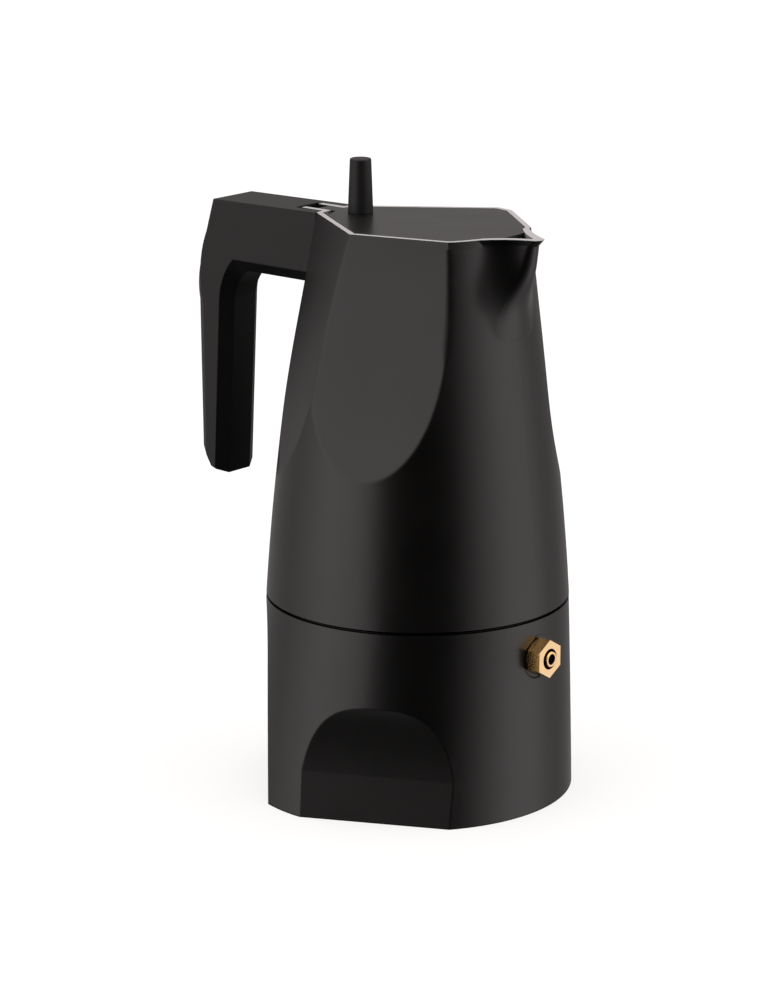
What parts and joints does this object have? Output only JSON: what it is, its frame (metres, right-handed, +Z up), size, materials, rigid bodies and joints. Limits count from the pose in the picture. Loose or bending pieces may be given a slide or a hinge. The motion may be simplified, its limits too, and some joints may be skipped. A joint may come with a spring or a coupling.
{
  "type": "moka pot",
  "caption": "Stovetop moka pot with a faceted black body, beaked spout, hinged lid with a knob, one-sided handle and brass safety valve.",
  "frame": {"origin": "on the pot's axis, in the plane of the base it stands on", "axes": "+Z up along the pot's axis, +X towards the spout, the handle on the -X side"},
  "size_m": [0.1541, 0.1134, 0.215],
  "materials": {
    "coated_aluminium": "satin black coating outside, polished bare rim, bare cast inside",
    "bare_aluminium": "bare pressed and turned",
    "black_plastic": "matt black",
    "brass": "turned, slightly dulled",
    "steel": "plain stainless",
    "silicone": "white food-grade silicone",
    "fibre": "dark pressed fibre"
  },
  "bodies": {
    "boiler_body": {"boiler": "coated_aluminium", "valve_body": "brass", "valve_washer": "fibre", "valve_spring": "steel", "valve_retainer": "brass", "funnel_cup": "bare_aluminium", "funnel_stem": "bare_aluminium", "funnel_filter": "bare_aluminium"},
    "valve_plunger": {"valve_pin": "brass", "valve_seal": "silicone"},
    "seal_pack": {"gasket": "silicone", "upper_filter": "bare_aluminium"},
    "collector_body": {"collector": "coated_aluminium", "column": "bare_aluminium", "hinge_pin": "steel", "handle": "black_plastic", "handle_screw": "steel", "handle_washer": "steel"},
    "lid_body": {"lid": "coated_aluminium", "lid_knob": "black_plastic", "knob_screw": "steel", "knob_washer": "steel"}
  },
  "joints": [
    {"name": "valve_lift", "type": "slide", "parent": "boiler_body", "child": "valve_plunger", "axis": [1, 0, 0], "range_m": [0, 0.0015], "stiffness_N_per_m": 400, "springref_m": -0.004, "deforming": ["valve_spring"]},
    {"name": "collector_rise", "type": "slide", "parent": "boiler_body", "child": "seal_pack", "axis": [0, 0, 1], "range_m": [0, 0.00605]},
    {"name": "collector_turn", "type": "hinge", "parent": "seal_pack", "child": "collector_body", "pos_m": [0, 0, 0], "axis": [0, 0, 1], "range_deg": [0, 540]},
    {"name": "lid_hinge", "type": "hinge", "parent": "collector_body", "child": "lid_body", "pos_m": [-0.0435, 0, 0.1925], "axis": [0, -1, 0], "range_deg": [0, 110]}
  ],
  "couplings": [
    {"joint": "collector_rise", "follows": "collector_turn", "m_per_rad": 0.00063662}
  ]
}
